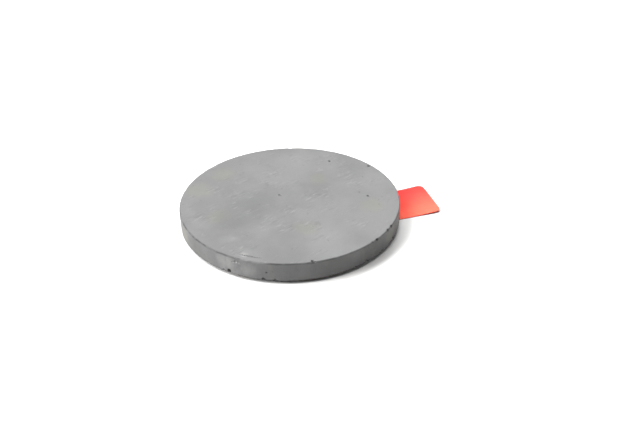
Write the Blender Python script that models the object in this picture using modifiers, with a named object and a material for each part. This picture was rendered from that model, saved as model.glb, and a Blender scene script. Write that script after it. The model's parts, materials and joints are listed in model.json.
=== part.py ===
"""Self-adhesive ferrite disc magnet with a double-sided foam tape and a release film with a pull tab.

Metres, +Z up. The origin is the centre of the release film's underside, which lies on the surface. The disc's
face is up, and the pull tab points along +X.
"""

import math

import bpy
import bmesh

# Driving dimensions
DISC_DIAMETER = 0.057
DISC_THICKNESS = 0.005
DISC_CHAMFER = 0.00025
TAPE_INSET = 0.0015  # how far the tape and the film stay inside the disc's rim
FOAM_THICKNESS = 0.0004
ADHESIVE_THICKNESS = 0.00008
FILM_THICKNESS = 0.000125
LAYER_GAP = 0.00002  # the layers are tenths of a millimetre thick, so the gap between them is finer still
TAB_WIDTH = 0.0136
TAB_OFFSET = -0.0027  # the tab's middle line passes this far beside the disc's centre
TAB_REACH = 0.0103  # from the disc's rim to the tab's end
TAB_CORNER_RADIUS = 0.0015
TAB_LIFT = math.radians(4.2)  # the film's tab springs up a little from the surface
FOLD_CLEARANCE = 0.0006  # from the disc's rim to the line that the tab folds on
FOLD_GAP = 0.00002  # from the fold line to the film on each side of it
RIM_SEGMENTS = 128
CORNER_SEGMENTS = 8

# Worked out from them
DISC_RADIUS = DISC_DIAMETER / 2
TAPE_RADIUS = DISC_RADIUS - TAPE_INSET
FOLD_X = DISC_RADIUS + FOLD_CLEARANCE
TAB_LENGTH = TAB_REACH - FOLD_CLEARANCE
SURFACE_ADHESIVE_Z = FILM_THICKNESS + LAYER_GAP
FOAM_Z = SURFACE_ADHESIVE_Z + ADHESIVE_THICKNESS + LAYER_GAP
MAGNET_ADHESIVE_Z = FOAM_Z + FOAM_THICKNESS + LAYER_GAP
DISC_Z = MAGNET_ADHESIVE_Z + ADHESIVE_THICKNESS + LAYER_GAP

PARTS_COLLECTION = "adhesive_disc_magnet"


def clear_scene():
    """Removes the objects and collections of the open file."""
    for obj in list(bpy.data.objects):
        bpy.data.objects.remove(obj, do_unlink=True)
    for collection in list(bpy.data.collections):
        bpy.data.collections.remove(collection)


def parts_collection():
    """The collection that holds the magnet's pieces."""
    collection = bpy.data.collections.new(PARTS_COLLECTION)
    bpy.context.scene.collection.children.link(collection)
    return collection


def principled(name, colour, roughness, metallic=0.0, transmission=0.0):
    """A plain Principled BSDF material."""
    material = bpy.data.materials.new(name)
    material.use_nodes = True
    shader = material.node_tree.nodes["Principled BSDF"]
    shader.inputs["Base Color"].default_value = (*colour, 1.0)
    shader.inputs["Roughness"].default_value = roughness
    shader.inputs["Metallic"].default_value = metallic
    shader.inputs["Transmission Weight"].default_value = transmission
    return material


def add_object(name, mesh, collection, material):
    """A named piece with its own material."""
    obj = bpy.data.objects.new(name, mesh)
    collection.objects.link(obj)
    mesh.materials.append(material)
    return obj


def disc_mesh(name, radius, thickness):
    """A round plate on its own underside, centred on the Z axis."""
    mesh = bpy.data.meshes.new(name)
    bm = bmesh.new()
    bmesh.ops.create_cone(
        bm, cap_ends=True, segments=RIM_SEGMENTS, radius1=radius, radius2=radius, depth=thickness
    )
    bmesh.ops.translate(bm, verts=bm.verts, vec=(0.0, 0.0, thickness / 2))
    bm.to_mesh(mesh)
    bm.free()
    return mesh


def shade_round(mesh):
    """Smooth sides with crisp rims."""
    mesh.shade_smooth()
    mesh.set_sharp_from_angle(angle=math.radians(30))


def layer(name, thickness, z, collection, material):
    """One round layer of the tape, with its underside at height z."""
    mesh = disc_mesh(name, TAPE_RADIUS, thickness)
    shade_round(mesh)
    obj = add_object(name, mesh, collection, material)
    obj.location.z = z
    return obj


def ferrite_disc(collection):
    """The magnet itself: a pressed and sintered disc, with its edges barely broken."""
    mesh = disc_mesh("ferrite_disc", DISC_RADIUS, DISC_THICKNESS)
    shade_round(mesh)
    material = principled("ferrite", (0.33, 0.33, 0.34), roughness=0.6)
    obj = add_object("ferrite_disc", mesh, collection, material)
    obj.location.z = DISC_Z
    bevel = obj.modifiers.new("broken_edges", "BEVEL")
    bevel.width = DISC_CHAMFER
    bevel.segments = 1
    bevel.limit_method = "ANGLE"
    bevel.angle_limit = math.radians(60)
    return obj


def foam_tape(collection):
    """The double-sided tape: a foam carrier with a coat of adhesive on each face."""
    adhesive = principled("adhesive", (0.86, 0.85, 0.8), roughness=0.25)
    foam = principled("foam", (0.88, 0.88, 0.86), roughness=0.9)
    layer("surface_side_adhesive", ADHESIVE_THICKNESS, SURFACE_ADHESIVE_Z, collection, adhesive)
    layer("foam_carrier", FOAM_THICKNESS, FOAM_Z, collection, foam)
    layer("magnet_side_adhesive", ADHESIVE_THICKNESS, MAGNET_ADHESIVE_Z, collection, adhesive.copy())


def add_arc(points, centre, radius, start, end, segments):
    """Adds the points of an arc, from the start angle to the end angle."""
    for i in range(segments + 1):
        angle = start + (end - start) * i / segments
        points.append((centre[0] + radius * math.cos(angle), centre[1] + radius * math.sin(angle)))


def film_mesh(name, outline):
    """A piece of release film with this closed outline, lying on its own underside."""
    curve = bpy.data.curves.new(name, "CURVE")
    curve.dimensions = "2D"
    curve.fill_mode = "BOTH"
    curve.extrude = FILM_THICKNESS / 2
    spline = curve.splines.new("POLY")
    spline.points.add(len(outline) - 1)
    for point, (x, y) in zip(spline.points, outline):
        point.co = (x, y, 0.0, 1.0)
    spline.use_cyclic_u = True
    guide = bpy.data.objects.new(name + "_outline", curve)
    bpy.context.scene.collection.objects.link(guide)
    bpy.context.view_layer.update()
    mesh = bpy.data.meshes.new_from_object(guide.evaluated_get(bpy.context.evaluated_depsgraph_get()))
    mesh.name = name
    bpy.data.objects.remove(guide, do_unlink=True)
    bpy.data.curves.remove(curve)
    bm = bmesh.new()
    bm.from_mesh(mesh)
    bmesh.ops.remove_doubles(bm, verts=bm.verts, dist=FILM_THICKNESS / 100)
    bmesh.ops.translate(bm, verts=bm.verts, vec=(0.0, 0.0, FILM_THICKNESS / 2))
    bm.to_mesh(mesh)
    bm.free()
    return mesh


def release_liner(collection):
    """The film under the tape: a disc, with a neck that runs out past the rim to the fold line."""
    low = TAB_OFFSET - TAB_WIDTH / 2
    high = TAB_OFFSET + TAB_WIDTH / 2
    neck_end = FOLD_X - FOLD_GAP
    outline = []
    start = math.asin(high / TAPE_RADIUS)
    end = 2 * math.pi + math.asin(low / TAPE_RADIUS)
    add_arc(outline, (0.0, 0.0), TAPE_RADIUS, start, end, RIM_SEGMENTS)
    outline += [(neck_end, low), (neck_end, high)]
    mesh = film_mesh("release_liner", outline)
    material = principled("release_film", (0.85, 0.12, 0.09), roughness=0.35, transmission=0.2)
    return add_object("release_liner", mesh, collection, material)


def pull_tab(collection):
    """The end of the same film beyond the fold line, for the finger and thumb. It turns about the film's top."""
    half = TAB_WIDTH / 2
    radius = TAB_CORNER_RADIUS
    outline = [(FOLD_GAP, half), (FOLD_GAP, -half)]
    corner = TAB_LENGTH - radius
    add_arc(outline, (corner, -half + radius), radius, -math.pi / 2, 0.0, CORNER_SEGMENTS)
    add_arc(outline, (corner, half - radius), radius, 0.0, math.pi / 2, CORNER_SEGMENTS)
    mesh = film_mesh("pull_tab", outline)
    for vertex in mesh.vertices:
        vertex.co.z -= FILM_THICKNESS
    material = principled("pull_tab_film", (0.9, 0.16, 0.12), roughness=0.35, transmission=0.2)
    fold = bpy.data.objects.new("tab_fold", None)
    collection.objects.link(fold)
    fold.location = (FOLD_X, TAB_OFFSET, FILM_THICKNESS)
    fold.rotation_euler = (0.0, -TAB_LIFT, 0.0)
    obj = add_object("pull_tab", mesh, collection, material)
    obj.parent = fold
    return obj


def main():
    clear_scene()
    collection = parts_collection()
    ferrite_disc(collection)
    foam_tape(collection)
    release_liner(collection)
    pull_tab(collection)


main()
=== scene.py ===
"""Looks of a self-adhesive ferrite disc magnet with a red release film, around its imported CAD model.

Metres, in the CAD's frame: the surface is at z = 0, the disc's bare face is up and the tab points along +X.
"""

import json
import math

import bmesh
import bpy
import numpy as np
from mathutils import Matrix, Vector, noise
from mathutils.geometry import delaunay_2d_cdt

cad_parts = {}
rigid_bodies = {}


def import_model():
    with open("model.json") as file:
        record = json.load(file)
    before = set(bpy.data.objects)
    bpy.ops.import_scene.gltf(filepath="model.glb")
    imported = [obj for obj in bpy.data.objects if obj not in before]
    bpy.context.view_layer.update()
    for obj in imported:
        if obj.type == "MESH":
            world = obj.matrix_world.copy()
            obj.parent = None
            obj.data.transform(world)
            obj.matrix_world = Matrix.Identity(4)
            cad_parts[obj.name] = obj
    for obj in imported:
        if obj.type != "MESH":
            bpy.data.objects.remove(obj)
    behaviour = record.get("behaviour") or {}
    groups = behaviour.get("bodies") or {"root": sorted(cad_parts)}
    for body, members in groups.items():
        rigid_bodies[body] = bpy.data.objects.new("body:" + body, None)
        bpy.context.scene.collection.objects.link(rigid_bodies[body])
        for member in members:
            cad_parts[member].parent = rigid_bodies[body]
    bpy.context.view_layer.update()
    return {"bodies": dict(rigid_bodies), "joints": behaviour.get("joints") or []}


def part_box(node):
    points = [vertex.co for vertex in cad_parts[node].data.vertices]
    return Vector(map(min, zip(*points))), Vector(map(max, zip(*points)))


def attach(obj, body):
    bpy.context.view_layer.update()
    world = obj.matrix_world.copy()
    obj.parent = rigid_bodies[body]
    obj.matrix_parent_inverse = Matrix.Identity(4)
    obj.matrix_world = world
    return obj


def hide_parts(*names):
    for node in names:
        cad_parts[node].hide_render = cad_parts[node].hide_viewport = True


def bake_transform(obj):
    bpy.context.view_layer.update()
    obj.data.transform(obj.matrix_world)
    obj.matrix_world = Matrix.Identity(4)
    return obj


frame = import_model()

MM = 0.001

# Places and sizes, from the frame
DISC_LOW, DISC_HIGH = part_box("ferrite_disc")
FILM_LOW, FILM_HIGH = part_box("release_liner")
TAB_LOW, TAB_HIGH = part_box("pull_tab")
FOAM_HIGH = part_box("foam_carrier")[1]
FOLD = next(j for j in frame["joints"] if j["name"] == "tab_fold")["pos_m"]
DISC_RADIUS = DISC_HIGH.x
TAPE_RADIUS = FOAM_HIGH.x
FILM_THICKNESS = FILM_HIGH.z - FILM_LOW.z

# The camera looks over the disc with the tab to its right and a little behind. A separate program fitted
# its first values to the outline in the reference photo.
CAMERA_AZIMUTH = math.radians(16.4)
CAMERA_ELEVATION = math.radians(32.6)
CAMERA_DISTANCE = 0.2128
CAMERA_AIM = Vector((0.0081, 0.0, -0.0002))
CAMERA_ROLL = math.radians(-0.68)
CAMERA_LENS = 45.0


# --- Camera, light and floor ---

TABLE_RADIUS = 4.0
TABLE_SEGMENTS = 96
TABLE_GAP = 0.02 * MM


def camera():
    """The scene's camera, at the angle of a person looking down at a table."""
    data = bpy.data.cameras.new("camera")
    data.lens = CAMERA_LENS
    data.clip_start = 0.01
    data.clip_end = 20.0
    obj = bpy.data.objects.new("camera", data)
    bpy.context.scene.collection.objects.link(obj)
    level = math.cos(CAMERA_ELEVATION)
    back = Vector(
        (
            -math.sin(CAMERA_AZIMUTH) * level,
            -math.cos(CAMERA_AZIMUTH) * level,
            math.sin(CAMERA_ELEVATION),
        )
    )
    turn = (-back).to_track_quat("-Z", "Y").to_matrix().to_4x4()
    place = Matrix.Translation(CAMERA_AIM + back * CAMERA_DISTANCE)
    obj.matrix_world = place @ turn @ Matrix.Rotation(CAMERA_ROLL, 4, "Z")
    bpy.context.scene.camera = obj


def soft_light(name, azimuth, elevation, strength, spread=26.0):
    """A large, far soft light. Angles are in degrees, and azimuth runs from the camera towards its left."""
    data = bpy.data.lights.new(name, "SUN")
    data.energy = strength
    data.angle = math.radians(spread)
    obj = bpy.data.objects.new(name, data)
    bpy.context.scene.collection.objects.link(obj)
    heading = CAMERA_AZIMUTH + math.radians(azimuth)
    level = math.cos(math.radians(elevation))
    away = Vector(
        (
            -math.sin(heading) * level,
            -math.cos(heading) * level,
            math.sin(math.radians(elevation)),
        )
    )
    obj.rotation_mode = "QUATERNION"
    obj.rotation_quaternion = (-away).to_track_quat("-Z", "Y")
    return obj


def studio_light():
    """Soft lights, strongest from the left. The surround is white in view but lights only from low down."""
    soft_light("light_left_low", 74, 36, 4.2, 30.0)
    soft_light("light_left_high", 96, 56, 4.2)
    soft_light("light_behind", 180, 55, 2.1)
    soft_light("light_top", 0, 85, 1.6)
    soft_light("light_right", -90, 35, 0.3)
    world = bpy.data.worlds.new("surround")
    bpy.context.scene.world = world
    world.use_nodes = True
    tree = world.node_tree
    background = tree.nodes["Background"]
    direction = add(tree, "ShaderNodeTexCoord").outputs["Generated"]
    height = add(tree, "ShaderNodeSeparateXYZ", {"Vector": direction}).outputs["Z"]
    glow = remap(tree, height, 0.02, 0.1, 1.0, 0.08)
    seen = add(tree, "ShaderNodeLightPath").outputs["Is Camera Ray"]
    glow = maths(tree, "MAXIMUM", glow, seen)
    colour = add(tree, "ShaderNodeCombineColor", {"Red": glow, "Green": glow, "Blue": glow})
    tree.links.new(colour.outputs["Color"], background.inputs["Color"])
    bpy.context.scene.view_settings.view_transform = "Standard"


def floor():
    """The white table top. It stays with the film, which lies on it when the magnet is lifted off."""
    mesh = bpy.data.meshes.new("table_top")
    bm = bmesh.new()
    bmesh.ops.create_circle(bm, cap_ends=True, segments=TABLE_SEGMENTS, radius=TABLE_RADIUS)
    bm.to_mesh(mesh)
    bm.free()
    obj = bpy.data.objects.new("table_top", mesh)
    bpy.context.scene.collection.objects.link(obj)
    obj.location.z = FILM_LOW.z - TABLE_GAP
    material, tree, shader = new_material("table_top")
    position = add(tree, "ShaderNodeTexCoord").outputs["Object"]
    tone = noise_value(tree, position, 6.0, detail=3)
    mix_into(tree, shader.inputs["Base Color"], tone, (0.57, 0.57, 0.565), (0.61, 0.61, 0.605))
    shader.inputs["Roughness"].default_value = 0.7
    shader.inputs["Specular IOR Level"].default_value = 0.2
    mesh.materials.append(material)
    obj.parent = frame["bodies"]["film"]


# --- Node helpers ---


def add(tree, kind, inputs=None, **settings):
    """A new node with its settings and inputs. An input is a value or another node's output."""
    node = tree.nodes.new(kind)
    for name, value in settings.items():
        setattr(node, name, value)
    for name, value in (inputs or {}).items():
        if isinstance(value, bpy.types.NodeSocket):
            tree.links.new(value, node.inputs[name])
        else:
            node.inputs[name].default_value = value
    return node


def new_material(name):
    """A material with an empty Principled BSDF, its tree and its shader."""
    material = bpy.data.materials.new(name)
    material.use_nodes = True
    tree = material.node_tree
    return material, tree, tree.nodes["Principled BSDF"]


def maths(tree, operation, a, b=0.0, clamp=False):
    """The result of a Math node."""
    return add(tree, "ShaderNodeMath", {0: a, 1: b}, operation=operation, use_clamp=clamp).outputs[0]


def remap(tree, value, low, high, out_low=0.0, out_high=1.0):
    """value taken smoothly from low..high to out_low..out_high."""
    node = add(
        tree,
        "ShaderNodeMapRange",
        {"Value": value, "From Min": low, "From Max": high, "To Min": out_low, "To Max": out_high},
        interpolation_type="SMOOTHSTEP",
    )
    return node.outputs["Result"]


def noise_value(tree, vector, scale, detail=2.0, roughness=0.5, distortion=0.0):
    """Fractal noise from 0 to 1."""
    inputs = {
        "Vector": vector, "Scale": scale, "Detail": detail, "Roughness": roughness, "Distortion": distortion
    }
    return add(tree, "ShaderNodeTexNoise", inputs).outputs["Fac"]


def mapped(tree, vector, turn=0.0, scale=(1.0, 1.0, 1.0)):
    """vector turned about Z and then scaled along each axis."""
    turned = add(
        tree, "ShaderNodeVectorRotate", {"Vector": vector, "Angle": turn}, rotation_type="Z_AXIS"
    ).outputs["Vector"]
    return add(tree, "ShaderNodeVectorMath", {0: turned, 1: scale}, operation="MULTIPLY").outputs["Vector"]


def blended(tree, factor, a, b, blend="MIX"):
    """Colour a mixed with colour b by factor."""
    node = add(tree, "ShaderNodeMix", data_type="RGBA", blend_type=blend)
    for socket, value in ((node.inputs[0], factor), (node.inputs[6], a), (node.inputs[7], b)):
        if isinstance(value, bpy.types.NodeSocket):
            tree.links.new(value, socket)
        elif isinstance(value, tuple):
            socket.default_value = (*value, 1.0)
        else:
            socket.default_value = value
    return node.outputs[2]


def mix_into(tree, socket, factor, a, b):
    """Links the mix of two colours to a socket."""
    tree.links.new(blended(tree, factor, a, b), socket)


def bump(tree, height, distance, strength=1.0, normal=None):
    """A Bump node's normal."""
    inputs = {"Height": height, "Distance": distance, "Strength": strength}
    if normal is not None:
        inputs["Normal"] = normal
    return add(tree, "ShaderNodeBump", inputs).outputs["Normal"]


def spot(tree, position, centre, radius, ragged):
    """1 at a round patch's centre, falling to 0 at its ragged edge."""
    offset = add(
        tree, "ShaderNodeVectorMath", {0: position, 1: centre}, operation="DISTANCE"
    ).outputs["Value"]
    return remap(tree, maths(tree, "ADD", offset, ragged), radius, radius * 0.15)


# --- Ferrite disc ---

SEGMENTS = 576
EDGE_BREAK = 0.2 * MM
# How far the painted shade along the rims reaches, and the side where it is strongest
RIM_SHADE_WIDTH = 0.34 * MM
RIM_SHADE_SIDE = math.radians(-140)
STROKE_ANGLE = math.radians(27)
STROKE_SCALE = (480.0, 1700.0, 300.0)
REFINE_PASSES = 3
REFINED_SPACING = 0.11 * MM

CHIP_DEPTH = 0.6
# Most marks that show in the reference photo were picked on it by eye, turned into millimetres by a
# separate program through the fitted camera, and then rounded. The others were placed one by one or made
# up.
# The same holds for the crack and for the material's lists of patches, stains and strokes.
# Lengths in these lists are in millimetres, angles in degrees, and heights are above the disc's underside.
# Shade-and-glint values run from 1, painted shade filling a hollow, to -1, a painted glint on a break.
# (angle, height, radius, painted shade or glint) of each chip in the rims and the wall
CHIPS = [
    (-172.0, 5.05, 0.28, 0.4),
    (-139.0, 0.2, 0.5, 0.8),
    (-135.5, 0.7, 0.6, 1.0),
    (-133.0, 3.6, 0.25, -0.6),
    (-131.5, 3.9, 0.4, -0.9),
    (-130.0, 3.7, 0.3, -0.7),
    (-117.5, 0.3, 0.5, 0.9),
    (-112.0, 0.2, 0.5, 0.8),
    (-93.5, 4.95, 0.5, 1.0),
    (-75.0, 0.0, 0.3, 0.3),
    (-72.0, 0.2, 0.4, 0.7),
    (-65.0, 0.2, 0.6, 1.0),
    (-61.0, 5.0, 0.4, 0.7),
    (-57.5, 4.9, 0.5, 0.9),
    (-53.0, 0.3, 0.5, 0.9),
    (-51.0, 5.0, 0.24, 0.5),
    (-50.5, 0.1, 0.3, 0.8),
    (-47.5, 4.9, 0.5, 0.9),
    (-43.5, 4.7, 0.5, 0.9),
    (-41.0, 0.4, 0.6, 0.9),
    (9.0, 5.05, 0.26, 0.6),
    (17.5, 5.05, 0.28, 0.7),
    (22.0, 5.0, 0.38, 0.95),
    (75.0, 4.95, 0.5, 0.2),
    (118.0, 5.0, 0.3, 0.5),
    (160.0, 0.1, 0.6, 0.3),
]
# (x, y, radius, depth, painted shade) of each pore in the bare face
PORES = [
    (16.0, 16.5, 0.5, 0.36, 1.0),
    (20.0, -4.5, 0.5, 0.24, 0.75),
    (-2.0, 3.0, 0.4, 0.16, 0.6),
    (18.5, -2.0, 0.3, 0.12, 0.4),
    (-2.0, -27.8, 0.55, 0.3, 1.0),
    (25.5, 10.5, 0.5, 0.3, 1.0),
    (-8.5, 17.0, 0.2, 0.12, 0.3),
    (4.0, -21.0, 0.2, 0.1, 0.3),
    (-13.5, 7.5, 0.18, 0.1, 0.25),
    (10.5, -10.8, 0.16, 0.1, 0.25),
]
# (angle, height, radius, depth, painted shade) of each pore in the wall
WALL_PORES = [
    (-116.0, 2.3, 0.35, 0.16, 0.7),
    (-113.0, 2.7, 0.16, 0.1, 0.3),
    (-60.0, 3.0, 0.2, 0.1, 0.3),
    (-30.0, 1.8, 0.3, 0.16, 0.5),
    (-24.0, 3.2, 0.26, 0.14, 0.5),
    (60.0, 2.2, 0.26, 0.14, 0.4),
    (140.0, 3.4, 0.2, 0.12, 0.4),
]
# The hairline crack runs beside the rim between these angles
CRACK_RADIUS = 26.7 * MM
CRACK_ANGLES = (math.radians(-132.0), math.radians(-118.5))
CRACK_WIDTH = 0.16 * MM
CRACK_DEPTH = 0.09 * MM
CRACK_STEPS = 12
CRACK_REACH = 0.6 * MM


def steps(start, end, spacing):
    """Evenly spaced values from start to end, about spacing apart, without the end."""
    count = max(1, round(abs(end - start) / spacing))
    return [start + (end - start) * i / count for i in range(count)]


def disc_profile():
    """(radius, height) of each ring, from the top centre over the rim and wall to the bottom centre."""
    r, low, high, edge = DISC_RADIUS, DISC_LOW.z, DISC_HIGH.z, EDGE_BREAK
    near = r - 1.5 * MM
    fine = 0.09 * MM
    rings = [(x, high) for x in steps(1.0 * MM, near, 0.8 * MM)]
    rings += [(x, high) for x in steps(near, r - 0.5 * MM, 0.25 * MM)]
    rings += [(x, high) for x in steps(r - 0.5 * MM, r - edge, fine)]
    rings += [(r - edge + edge * t, high - edge * t) for t in steps(0.0, 1.0, 0.34)]
    rings += [(r, z) for z in steps(high - edge, high - 0.6 * MM, fine)]
    rings += [(r, z) for z in steps(high - 0.6 * MM, low + 0.6 * MM, 0.25 * MM)]
    rings += [(r, z) for z in steps(low + 0.6 * MM, low + edge, fine)]
    rings += [(r - edge * t, low + edge - edge * t) for t in steps(0.0, 1.0, 0.34)]
    rings += [(x, low) for x in steps(r - edge, r - 0.5 * MM, fine)]
    rings += [(x, low) for x in steps(r - 0.5 * MM, near, 0.25 * MM)]
    rings += [(x, low) for x in steps(near, 1.0 * MM, 2.5 * MM)]
    return rings


def turned_mesh(name, rings, segments, top, bottom):
    """A closed turned mesh with these rings and a point at each end of its axis."""
    angles = np.linspace(0.0, 2 * math.pi, segments, endpoint=False)
    points = [(r * math.cos(a), r * math.sin(a), z) for r, z in rings for a in angles]
    points += [(0.0, 0.0, top), (0.0, 0.0, bottom)]
    faces = []
    for i in range(len(rings) - 1):
        for j in range(segments):
            k = (j + 1) % segments
            upper, lower = i * segments, (i + 1) * segments
            faces.append((upper + j, lower + j, lower + k, upper + k))
    last = (len(rings) - 1) * segments
    for j in range(segments):
        k = (j + 1) % segments
        faces.append((len(points) - 2, j, k))
        faces.append((len(points) - 1, last + k, last + j))
    mesh = bpy.data.meshes.new(name)
    mesh.from_pydata(points, [], faces)
    return mesh


def refine(bm, centres, spacing):
    """Splits the edges round each (centre, reach) that are longer than spacing, in a few passes."""
    for centre, reach in centres:
        for _ in range(REFINE_PASSES):
            edges = [
                e
                for e in bm.edges
                if (e.verts[0].co - centre).length < reach and (e.verts[1].co - centre).length < reach
                and e.calc_length() > spacing
            ]
            if not edges:
                break
            bmesh.ops.subdivide_edges(bm, edges=edges, cuts=1, use_grid_fill=True)


def fractal(points, scale, octaves, seed):
    """Smooth fractal noise, about -1 to 1, at each point."""
    shift = Vector((seed * 17.3, seed * 5.1, seed * 9.7))
    return np.array([noise.fractal(Vector(p) * scale + shift, 0.7, 2.0, octaves) for p in points])


def on_rim(angle, height):
    """The point of the wall at this angle, in degrees, and height above the underside, in millimetres."""
    a = math.radians(angle)
    return Vector((DISC_RADIUS * math.cos(a), DISC_RADIUS * math.sin(a), DISC_LOW.z + height * MM))


def smooth(t):
    """Smoothstep of t, which is clipped to 0..1."""
    t = np.clip(t, 0.0, 1.0)
    return t * t * (3 - 2 * t)


def mark_shade_and_glint(shade_and_glint, near, amount):
    """Keeps the stronger of a point's painted shade or glint so far and the new amount, whatever its sign;
    above 0 is shade, below 0 a glint.
    """
    shade_and_glint[near] = np.where(np.abs(amount) > np.abs(shade_and_glint[near]), amount, shade_and_glint[near])


def crumble_edges(co, shade_and_glint):
    """Wears both rims back unevenly, as the brittle edge of pressed ferrite is. The wear gets painted
    shade, strongest on the front left.
    """
    radius = np.hypot(co[:, 0], co[:, 1])
    for edge_z, seed in ((DISC_HIGH.z, 1), (DISC_LOW.z, 2)):
        near = np.hypot(radius - DISC_RADIUS, co[:, 2] - edge_z) < 1.0 * MM
        points = co[near]
        distance = np.hypot(radius[near] - DISC_RADIUS, points[:, 2] - edge_z)
        reach = np.exp(-((distance / (0.22 * MM)) ** 2))
        wear = 0.05 + 0.07 * fractal(points, 700.0, 3, seed) + 0.05 * fractal(points, 2500.0, 2, seed + 4)
        depth = np.clip(wear, 0.0, 0.2) * MM * reach
        inward = -points[:, :2] / radius[near][:, None]
        co[near, :2] += inward * depth[:, None]
        co[near, 2] += np.where(edge_z > DISC_LOW.z, -1.0, 1.0) * depth
        # Painted shade along the rims, in patches, strongest on the side facing the front left
        facing = np.cos(np.arctan2(points[:, 1], points[:, 0]) - RIM_SHADE_SIDE)
        patches = np.clip(1.0 + fractal(points, 420.0, 3, seed + 8), 0.3, 1.4)
        amount = np.clip(0.15 + 0.5 * facing, 0.06, 1.0) * patches
        mark_shade_and_glint(shade_and_glint, near, amount * np.exp(-((distance / RIM_SHADE_WIDTH) ** 4)))


def cut_chips(co, shade_and_glint):
    """Pushes the skin inside each chip's sphere in to the far side of that sphere, and paints shade in the
    chip, or a pale glint where its value is below 0.
    """
    middle = (DISC_LOW.z + DISC_HIGH.z) / 2
    for i, (angle, height, size, shade_glint) in enumerate(CHIPS):
        centre = np.array(on_rim(angle, height))
        offset = co - centre
        distance = np.linalg.norm(offset, axis=1)
        near = distance < size * 1.6 * MM
        if not near.any():
            continue
        rough = 1.0 + 0.38 * fractal(co[near], 1800.0, 3, 10 + i)
        radius = size * MM * rough
        inward = np.array([-centre[0], -centre[1], 0.0])
        inward /= np.linalg.norm(inward)
        inward[2] = -0.8 if centre[2] > middle else 0.8
        inward /= np.linalg.norm(inward)
        along = offset[near] @ inward
        inside = radius**2 - distance[near] ** 2
        push = np.where(inside > 0, -along + np.sqrt(np.maximum(along**2 + inside, 0.0)), 0.0)
        co[near] += inward * (CHIP_DEPTH * push)[:, None]
        mark_shade_and_glint(shade_and_glint, near, shade_glint * smooth(1.5 * push / radius))


def press_pores(co, shade_and_glint):
    """Sinks each pore into the bare face or the wall, and paints shade in it."""
    for i, (x, y, size, depth, shade_glint) in enumerate(PORES):
        distance = np.hypot(co[:, 0] - x * MM, co[:, 1] - y * MM)
        near = (distance < 2 * size * MM) & (co[:, 2] > DISC_HIGH.z - EDGE_BREAK)
        rough = 1.0 + 0.35 * fractal(co[near], 2600.0, 2, 40 + i)
        hollow = smooth(1.6 - 1.6 * distance[near] / (size * MM * rough))
        co[near, 2] -= depth * MM * hollow
        mark_shade_and_glint(shade_and_glint, near, shade_glint * hollow)
    for i, (angle, height, size, depth, shade_glint) in enumerate(WALL_PORES):
        centre = np.array(on_rim(angle, height))
        distance = np.linalg.norm(co - centre, axis=1)
        near = distance < 2 * size * MM
        rough = 1.0 + 0.35 * fractal(co[near], 2600.0, 2, 60 + i)
        hollow = smooth(1.6 - 1.6 * distance[near] / (size * MM * rough))
        co[near, :2] *= (1.0 - depth * MM * hollow / DISC_RADIUS)[:, None]
        mark_shade_and_glint(shade_and_glint, near, shade_glint * hollow)


def open_crack(co, shade_and_glint):
    """Cuts the hairline crack into the bare face beside the rim, paints shade in it, and pales a strip
    beside its start.
    """
    angle = np.arctan2(co[:, 1], co[:, 0])
    radius = np.hypot(co[:, 0], co[:, 1])
    start, end = CRACK_ANGLES
    near = (angle > start) & (angle < end) & (np.abs(radius - CRACK_RADIUS) < 1.0 * MM)
    near &= co[:, 2] > DISC_HIGH.z - EDGE_BREAK
    along = (angle[near] - start) / (end - start)
    wander = 0.25 * MM * fractal(co[near], 500.0, 3, 80)
    across = np.abs(radius[near] - CRACK_RADIUS - wander - 0.35 * MM * (along - 0.5) ** 2)
    taper = smooth(6 * along) * smooth(6 * (1 - along))
    gap = taper * smooth(1.5 - across / CRACK_WIDTH)
    co[near, 2] -= CRACK_DEPTH * gap
    patchy = np.clip(0.75 + 0.7 * fractal(co[near], 900.0, 2, 81), 0.0, 1.0)
    mark_shade_and_glint(shade_and_glint, near, gap * patchy)
    beside = smooth(2.0 - np.abs(across - 2.2 * CRACK_WIDTH) / CRACK_WIDTH)
    flake = smooth(4 * along) * smooth(4 * (0.45 - along)) * beside
    mark_shade_and_glint(shade_and_glint, near, -0.5 * flake)


def warp_faces(co):
    """Gives the pressed faces and the wall their slight waviness, always inwards."""
    radius = np.hypot(co[:, 0], co[:, 1])
    face = co[:, 2] > DISC_HIGH.z - 0.5 * EDGE_BREAK
    dip = 0.012 * fractal(co[face], 90.0, 2, 5) + 0.008 * fractal(co[face], 320.0, 2, 6)
    co[face, 2] -= np.clip(0.012 + dip, 0.0, 0.05) * MM
    wall = (radius > DISC_RADIUS - 0.3 * EDGE_BREAK) & ~face
    dent = 0.03 + 0.02 * fractal(co[wall] * (1.0, 1.0, 0.5), 260.0, 3, 7)
    co[wall, :2] *= (1.0 - np.clip(dent, 0.0, 0.08) * MM / DISC_RADIUS)[:, None]


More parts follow.
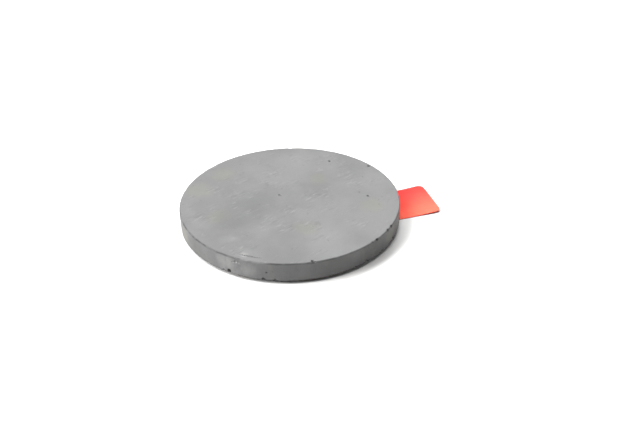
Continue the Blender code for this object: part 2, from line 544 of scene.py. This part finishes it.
def ferrite_disc():
    """The pressed and sintered disc, with its chips, pores, worn rims and hairline crack as real shape."""
    mesh = turned_mesh("magnet_disc", disc_profile(), SEGMENTS, DISC_HIGH.z, DISC_LOW.z)
    bm = bmesh.new()
    bm.from_mesh(mesh)
    places = [(on_rim(a, h), (size + 0.35) * MM) for a, h, size, _ in CHIPS]
    places += [(on_rim(a, h), (size + 0.2) * MM) for a, h, size, _, _ in WALL_PORES]
    places += [(Vector((x * MM, y * MM, DISC_HIGH.z)), (size + 0.6) * MM) for x, y, size, _, _ in PORES]
    start, end = CRACK_ANGLES
    for i in range(CRACK_STEPS + 1):
        a = start + (end - start) * i / CRACK_STEPS
        middle = Vector((CRACK_RADIUS * math.cos(a), CRACK_RADIUS * math.sin(a), DISC_HIGH.z))
        places.append((middle, CRACK_REACH))
    refine(bm, places, REFINED_SPACING)
    bm.to_mesh(mesh)
    bm.free()
    co = np.zeros(len(mesh.vertices) * 3)
    mesh.vertices.foreach_get("co", co)
    co = co.reshape(-1, 3)
    shade_and_glint = np.zeros(len(co))
    warp_faces(co)
    crumble_edges(co, shade_and_glint)
    open_crack(co, shade_and_glint)
    cut_chips(co, shade_and_glint)
    press_pores(co, shade_and_glint)
    mesh.vertices.foreach_set("co", co.ravel())
    # Painted shade in the hollows and along the rims, and painted glints on some chips, for the material
    mesh.attributes.new("soiling", "FLOAT", "POINT").data.foreach_set("value", shade_and_glint.astype(np.float32))
    mesh.update()
    mesh.shade_smooth()
    mesh.set_sharp_from_angle(angle=math.radians(38))
    obj = bpy.data.objects.new("magnet_disc", mesh)
    bpy.context.scene.collection.objects.link(obj)
    mesh.materials.append(ferrite_material())
    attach(obj, "magnet")
    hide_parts("ferrite_disc")


# (x, y, radius) in millimetres and strength of the darker handling marks on the bare face
DARK_PATCHES = [
    (-9.0, 0.0, 8.0, 0.5),
    (-18.0, -3.0, 6.0, 0.45),
    (-12.0, -6.5, 5.0, 0.4),
    (-10.0, -2.0, 3.0, 1.0),
    (-16.5, -7.0, 3.5, 0.8),
    (-18.5, -2.5, 2.5, 0.7),
    (9.0, 9.0, 5.0, 0.35),
    (19.0, -5.0, 6.0, 0.3),
]
# the same for the pale rubbed marks
PALE_PATCHES = [
    (-18.5, -13.0, 3.5, 0.5),
    (-24.0, -4.0, 4.0, 0.4),
    (-16.5, -19.5, 3.0, 0.5),
    (3.0, -20.0, 9.0, 0.4),
    (8.0, 20.0, 8.0, 0.3),
    (-17.5, -13.0, 1.5, 0.7),
    (-13.0, 18.0, 1.5, 0.5),
]
# and for the faint yellow stains
STAINS = [
    (-14.0, 18.0, 5.0, 0.5),
    (-22.0, 12.0, 6.0, 0.5),
    (0.5, -14.0, 4.5, 0.5),
    (19.5, -9.0, 4.5, 0.5),
    (10.0, 8.0, 3.5, 0.5),
    (-20.0, -2.0, 4.5, 0.4),
]


# and for the places with the most pressing strokes
STROKED = [
    (-1.0, 14.5, 4.0, 1.0),
    (7.0, 0.0, 4.5, 1.0),
    (-1.5, -5.0, 3.5, 0.9),
    (-4.5, -12.0, 3.5, 0.9),
    (-23.0, -1.5, 4.0, 0.9),
    (-18.0, 11.0, 3.5, 0.8),
    (-12.0, 6.5, 3.5, 0.8),
    (-10.0, -10.0, 3.5, 0.7),
    (-3.5, 9.5, 3.0, 0.8),
    (14.0, -16.0, 4.0, 0.7),
    (18.0, 8.0, 4.0, 0.6),
]
# (angle, height, radius) and strength of the wall's marks: the darker ones are dull marks and painted
# shade, most of it on the front and right; the paler ones are rubbed marks and painted light on the front
# left; then stains
WALL_SHADE_AND_DULL = [
    (-160.0, 2.5, 5.5, 0.7),
    (-84.0, 2.5, 8.0, 0.7),
    (-60.0, 2.5, 9.0, 0.8),
    (-35.0, 2.5, 8.0, 0.8),
    (60.0, 2.5, 8.0, 0.4),
]
WALL_LIGHT_AND_RUBBED = [
    (-136.0, 2.6, 4.2, 0.75),
    (-127.0, 2.4, 3.4, 0.5),
    (120.0, 2.5, 5.0, 0.4),
]
WALL_STAINS = [
    (-43.0, 2.8, 3.0, 0.6),
    (-31.0, 2.4, 2.8, 0.7),
    (-172.0, 2.6, 3.0, 0.5),
    (84.0, 2.4, 3.0, 0.4),
]


def ferrite_material():
    """Matt grey ferrite: fine grain, short pressing strokes, handling marks, stains, painted shade in its
    hollows, along its rims and on its wall, and painted light on its wall.
    """
    material, tree, shader = new_material("ferrite")
    position = add(tree, "ShaderNodeTexCoord").outputs["Object"]
    parts = add(tree, "ShaderNodeSeparateXYZ", {"Vector": position})
    flat = add(tree, "ShaderNodeVectorMath", {0: position, 1: (1.0, 1.0, 0.0)}, operation="MULTIPLY")
    face = remap(tree, parts.outputs["Z"], DISC_HIGH.z - 0.25 * MM, DISC_HIGH.z - 0.05 * MM)
    wall = maths(tree, "SUBTRACT", 1.0, face)
    cloud = noise_value(tree, position, 70.0, detail=4, roughness=0.55)
    colour = blended(tree, remap(tree, cloud, 0.3, 0.7), (0.099, 0.099, 0.1), (0.117, 0.117, 0.118))
    unevenness = maths(tree, "SUBTRACT", noise_value(tree, position, 260.0, 3), 0.5)
    ragged = maths(tree, "MULTIPLY", unevenness, 5 * MM)
    for marks, tint in (
        (DARK_PATCHES, (0.088, 0.089, 0.088)),
        (PALE_PATCHES, (0.136, 0.136, 0.136)),
        (STAINS, (0.118, 0.118, 0.1)),
    ):
        for x, y, size, strength in marks:
            mask = spot(tree, flat.outputs[0], (x * MM, y * MM, 0.0), size * MM, ragged)
            mask = maths(tree, "MULTIPLY", maths(tree, "MULTIPLY", mask, face), strength)
            colour = blended(tree, mask, colour, tint)
    # Painted shade and painted light on the wall, with some dull and rubbed marks, and the wall's stains
    for marks, tint in (
        (WALL_SHADE_AND_DULL, (0.07, 0.07, 0.068)),
        (WALL_LIGHT_AND_RUBBED, (0.19, 0.19, 0.187)),
        (WALL_STAINS, (0.15, 0.146, 0.116)),
    ):
        for angle, height, size, strength in marks:
            mask = spot(tree, position, on_rim(angle, height), size * MM, ragged)
            mask = maths(tree, "MULTIPLY", maths(tree, "MULTIPLY", mask, wall), strength)
            colour = blended(tree, mask, colour, tint)
    along_strokes = mapped(tree, position, -STROKE_ANGLE, STROKE_SCALE)
    strokes = noise_value(tree, along_strokes, 1.0, detail=1, distortion=0.6)
    scattered = remap(tree, noise_value(tree, position, 190.0, detail=3), 0.5, 0.64)
    groups = maths(tree, "MULTIPLY", scattered, 0.6)
    for x, y, size, strength in STROKED:
        place = spot(tree, flat.outputs[0], (x * MM, y * MM, 0.0), size * MM, ragged)
        groups = maths(tree, "MAXIMUM", groups, maths(tree, "MULTIPLY", place, strength))
    groups = maths(tree, "MULTIPLY", groups, face)
    stroke_light = maths(tree, "MULTIPLY", remap(tree, strokes, 0.57, 0.66), groups)
    stroke_dark = maths(tree, "MULTIPLY", remap(tree, strokes, 0.43, 0.34), groups)
    colour = blended(tree, maths(tree, "MULTIPLY", stroke_light, 0.75), colour, (0.152, 0.152, 0.152))
    colour = blended(tree, maths(tree, "MULTIPLY", stroke_dark, 0.7), colour, (0.08, 0.08, 0.08))
    grain = noise_value(tree, position, 5200.0, detail=3, roughness=0.7)
    darker = blended(tree, 1.0, colour, (0.93, 0.93, 0.93), "MULTIPLY")
    lighter = blended(tree, 1.0, colour, (1.06, 1.06, 1.06), "MULTIPLY")
    colour = blended(tree, remap(tree, grain, 0.35, 0.7), darker, lighter)
    pits = remap(tree, noise_value(tree, position, 1300.0, detail=1), 0.73, 0.79)
    colour = blended(tree, maths(tree, "MULTIPLY", pits, 0.55), colour, (0.05, 0.05, 0.05))
    along_wall = mapped(tree, position, 0.0, (1.0, 1.0, 0.35))
    wall_cloud = noise_value(tree, along_wall, 420.0, detail=4, roughness=0.6)
    half_wall = maths(tree, "MULTIPLY", wall, 0.5)
    rubbed = maths(tree, "MULTIPLY", remap(tree, wall_cloud, 0.5, 0.75), half_wall)
    colour = blended(tree, rubbed, colour, (0.128, 0.125, 0.108))
    dull = maths(tree, "MULTIPLY", remap(tree, wall_cloud, 0.48, 0.25), half_wall)
    colour = blended(tree, dull, colour, (0.072, 0.072, 0.072))
    # Painted shade darkens the hollows and the rims, and painted glints pale some chips
    soiling = add(tree, "ShaderNodeAttribute", attribute_name="soiling").outputs["Fac"]
    colour = blended(tree, maths(tree, "MAXIMUM", soiling, 0.0), colour, (0.018, 0.018, 0.017))
    colour = blended(tree, maths(tree, "MULTIPLY", soiling, -1.0, clamp=True), colour, (0.22, 0.22, 0.215))
    tree.links.new(colour, shader.inputs["Base Color"])
    tree.links.new(remap(tree, cloud, 0.3, 0.7, 0.68, 0.56), shader.inputs["Roughness"])
    shader.inputs["Specular IOR Level"].default_value = 0.4
    stroke_height = maths(tree, "MULTIPLY", strokes, groups)
    normal = bump(tree, stroke_height, 0.05 * MM, 0.7)
    normal = bump(tree, grain, 0.012 * MM, 0.8, normal)
    normal = bump(tree, wall_cloud, 0.05 * MM, 0.5, normal)
    tree.links.new(normal, shader.inputs["Normal"])
    return material


# --- Foam tape ---

TAPE_SEGMENTS = 360


def tape_layer(name, node, material, waviness, seed, rows):
    """A tape layer whose cut edge wavers a little, in place of its CAD solid."""
    low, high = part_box(node)
    inner = [(r, high.z) for r in steps(2.0 * MM, TAPE_RADIUS, 2.5 * MM)]
    wall = [(TAPE_RADIUS, high.z + (low.z - high.z) * i / rows) for i in range(rows + 1)]
    under = [(r, low.z) for r in reversed(steps(2.0 * MM, TAPE_RADIUS, 2.5 * MM))]
    mesh = turned_mesh(name, inner + wall + under, TAPE_SEGMENTS, high.z, low.z)
    co = np.zeros(len(mesh.vertices) * 3)
    mesh.vertices.foreach_get("co", co)
    co = co.reshape(-1, 3)
    radius = np.hypot(co[:, 0], co[:, 1])
    edge = radius > TAPE_RADIUS - 0.01 * MM
    waver = 0.5 + 0.5 * fractal(co[edge], 160.0, 2, seed) + 0.35 * fractal(co[edge], 2200.0, 2, seed + 1)
    co[edge, :2] *= (1.0 - np.clip(waver, 0.0, 1.5) * waviness / TAPE_RADIUS)[:, None]
    mesh.vertices.foreach_set("co", co.ravel())
    mesh.update()
    mesh.shade_smooth()
    mesh.set_sharp_from_angle(angle=math.radians(50))
    obj = bpy.data.objects.new(name, mesh)
    bpy.context.scene.collection.objects.link(obj)
    mesh.materials.append(material)
    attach(obj, "magnet")
    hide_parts(node)


def foam_material():
    """White closed-cell foam, with its cut cells."""
    material, tree, shader = new_material("foam")
    position = add(tree, "ShaderNodeTexCoord").outputs["Object"]
    cells = add(tree, "ShaderNodeTexVoronoi", {"Vector": position, "Scale": 5200.0}).outputs["Distance"]
    skin = remap(tree, cells, 0.15, 0.6)
    mix_into(tree, shader.inputs["Base Color"], skin, (0.42, 0.42, 0.4), (0.6, 0.6, 0.58))
    tree.links.new(remap(tree, cells, 0.1, 0.6, 0.95, 0.8), shader.inputs["Roughness"])
    tree.links.new(bump(tree, cells, 0.06 * MM), shader.inputs["Normal"])
    return material


def adhesive_material():
    """Pale tacky adhesive over the foam, with small trapped bubbles."""
    material, tree, shader = new_material("adhesive")
    position = add(tree, "ShaderNodeTexCoord").outputs["Object"]
    bubbles = add(tree, "ShaderNodeTexVoronoi", {"Vector": position, "Scale": 900.0}).outputs["Distance"]
    spots = remap(tree, bubbles, 0.22, 0.12)
    haze = noise_value(tree, position, 180.0, detail=4)
    base = blended(tree, haze, (0.6, 0.59, 0.53), (0.7, 0.69, 0.64))
    mix_into(tree, shader.inputs["Base Color"], maths(tree, "MULTIPLY", spots, 0.5), base, (0.8, 0.8, 0.78))
    tree.links.new(remap(tree, haze, 0.3, 0.7, 0.18, 0.34), shader.inputs["Roughness"])
    height = maths(tree, "ADD", maths(tree, "MULTIPLY", spots, 0.5), haze)
    tree.links.new(bump(tree, height, 0.03 * MM), shader.inputs["Normal"])
    return material


def foam_tape():
    """The tape's foam and its two coats of adhesive."""
    adhesive = adhesive_material()
    tape_layer("tape_foam", "foam_carrier", foam_material(), 0.12 * MM, 20, 6)
    tape_layer("tape_adhesive_upper", "magnet_side_adhesive", adhesive, 0.1 * MM, 24, 2)
    tape_layer("tape_adhesive_lower", "surface_side_adhesive", adhesive, 0.1 * MM, 28, 2)


# --- Release film ---

TAB_CORNER = 1.5 * MM
FILM_POINT_SPACING = 0.45 * MM
FILM_COARSE_SPACING = 2.5 * MM
FILM_CIRCLE_STEPS = 220
FILM_CORNER_STEPS = 10
BEND_LENGTH = 1.0 * MM
BEND_POINT_SPACING = 0.16 * MM


def film_stations(start, end):
    """Places along the tab from start to end, closest together where the film bends."""
    bend_end = FOLD[0] + BEND_LENGTH
    stations = steps(start, FOLD[0], FILM_POINT_SPACING)
    stations += steps(FOLD[0], bend_end, BEND_POINT_SPACING)
    return stations + steps(bend_end, end, FILM_POINT_SPACING)


def film_outline():
    """The film's cut outline: most of a circle, then the neck and the tab with two round corners."""
    low, high, end = TAB_LOW.y, TAB_HIGH.y, TAB_HIGH.x
    points = []
    start = math.asin(high / TAPE_RADIUS)
    stop = 2 * math.pi + math.asin(low / TAPE_RADIUS)
    for i in range(FILM_CIRCLE_STEPS + 1):
        a = start + (stop - start) * i / FILM_CIRCLE_STEPS
        points.append((TAPE_RADIUS * math.cos(a), TAPE_RADIUS * math.sin(a)))
    neck = TAPE_RADIUS * math.cos(start)
    points += [(x, low) for x in film_stations(neck, end - TAB_CORNER)[1:]]
    for turn, y in ((-math.pi / 2, low + TAB_CORNER), (0.0, high - TAB_CORNER)):
        for i in range(FILM_CORNER_STEPS + 1):
            a = turn + math.pi / 2 * i / FILM_CORNER_STEPS
            points.append((end - TAB_CORNER + TAB_CORNER * math.cos(a), y + TAB_CORNER * math.sin(a)))
        if y < 0.0:
            points += [(end, v) for v in steps(y, high - TAB_CORNER, FILM_POINT_SPACING)[1:]]
    points += [(x, high) for x in reversed(film_stations(neck, end - TAB_CORNER)[1:])]
    return points


def film_inner_points(outline):
    """Points inside the outline: close together on the tab, far apart under the disc."""
    points = []
    margin = 0.3 * MM
    for x in film_stations(TAPE_RADIUS - 2 * MM, TAB_HIGH.x):
        for y in steps(TAB_LOW.y + margin, TAB_HIGH.y - margin, FILM_POINT_SPACING):
            in_corner = x > TAB_HIGH.x - TAB_CORNER and (
                y < TAB_LOW.y + TAB_CORNER or y > TAB_HIGH.y - TAB_CORNER
            )
            if x < TAB_HIGH.x - margin and not in_corner:
                points.append((x, y))
    for r in steps(2.5 * MM, TAPE_RADIUS - 1.5 * MM, FILM_COARSE_SPACING):
        count = max(6, round(2 * math.pi * r / FILM_COARSE_SPACING))
        for i in range(count):
            a = 2 * math.pi * i / count
            x, y = r * math.cos(a), r * math.sin(a)
            if x < TAPE_RADIUS - 2.5 * MM or not TAB_LOW.y < y < TAB_HIGH.y:
                points.append((x, y))
    return points


def film_height(x, y):
    """How far the film's underside is off the surface. The tab springs up, more so at its far side."""
    reach = (x - FOLD[0]) / (TAB_HIGH.x - FOLD[0])
    side = (y - TAB_LOW.y) / (TAB_HIGH.y - TAB_LOW.y)
    lift = TAB_HIGH.z - FILM_THICKNESS
    if reach <= 0.0:
        return 0.0
    curl = 0.86 + 0.1 * side + 0.12 * math.sin(math.pi * side) - 0.06 * math.sin(2 * math.pi * side)
    return lift * reach**1.35 * curl


def release_film():
    """The one-piece film: the disc under the tape, the neck and the sprung tab, which bends at the fold."""
    outline = film_outline()
    inner = film_inner_points(outline)
    points = [Vector(p) for p in outline + inner]
    edges = [(i, (i + 1) % len(outline)) for i in range(len(outline))]
    found, _, faces, _, _, _ = delaunay_2d_cdt(points, edges, [], 1, 1e-7)
    mesh = bpy.data.meshes.new("red_film")
    mesh.from_pydata([(p.x, p.y, FILM_LOW.z + film_height(p.x, p.y)) for p in found], [], faces)
    obj = bpy.data.objects.new("red_film", mesh)
    bpy.context.scene.collection.objects.link(obj)
    solid = obj.modifiers.new("thickness", "SOLIDIFY")
    solid.thickness = FILM_THICKNESS
    solid.offset = 1.0
    dg = bpy.context.evaluated_depsgraph_get()
    thick = bpy.data.meshes.new_from_object(obj.evaluated_get(dg))
    obj.modifiers.clear()
    obj.data = thick
    thick.name = "red_film"
    bm = bmesh.new()
    bm.from_mesh(thick)
    bmesh.ops.recalc_face_normals(bm, faces=bm.faces)
    bm.to_mesh(thick)
    bm.free()
    cut_edge = [float(abs(face.normal.z) < 0.5) for face in thick.polygons]
    thick.attributes.new("cut_edge", "FLOAT", "FACE").data.foreach_set("value", cut_edge)
    thick.shade_smooth()
    thick.set_sharp_from_angle(angle=math.radians(40))
    thick.materials.clear()
    thick.materials.append(film_material())
    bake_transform(obj)
    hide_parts("release_liner", "pull_tab")


def film_material():
    """Thin satin red film, with faint rub marks, a cloudy body that scatters some light, a painted sheen
    that pales it towards the tab's near edge, and painted shade on its cut edge.
    """
    material, tree, shader = new_material("red_film")
    position = add(tree, "ShaderNodeTexCoord").outputs["Object"]
    cloud = noise_value(tree, position, 110.0, detail=3)
    across = add(tree, "ShaderNodeSeparateXYZ", {"Vector": position}).outputs["Y"]
    ragged = maths(tree, "MULTIPLY", maths(tree, "SUBTRACT", cloud, 0.5), 10 * MM)
    # The colour pales from the tab's far edge to its near edge in ragged clouds: a painted sheen
    painted_sheen = remap(tree, maths(tree, "ADD", across, ragged), TAB_HIGH.y, TAB_LOW.y)
    colour = blended(tree, painted_sheen, (0.76, 0.028, 0.024), (0.8, 0.1, 0.06))
    cut_edge = add(tree, "ShaderNodeAttribute", attribute_name="cut_edge").outputs["Fac"]
    # Painted shade on the film's cut edge: a dark red
    colour = blended(tree, cut_edge, colour, (0.42, 0.006, 0.005))
    tree.links.new(colour, shader.inputs["Base Color"])
    rubs = noise_value(tree, mapped(tree, position, 0.3, (300.0, 2600.0, 300.0)), 1.0, detail=3)
    tree.links.new(remap(tree, rubs, 0.3, 0.7, 0.36, 0.5), shader.inputs["Roughness"])
    tree.links.new(bump(tree, rubs, 0.004 * MM), shader.inputs["Normal"])
    shader.inputs["Specular IOR Level"].default_value = 0.12
    shader.inputs["Subsurface Weight"].default_value = 0.3
    shader.inputs["Subsurface Radius"].default_value = (0.6, 0.08, 0.06)
    shader.inputs["Subsurface Scale"].default_value = 0.3 * MM
    return material


camera()
studio_light()
floor()
ferrite_disc()
foam_tape()
release_film()
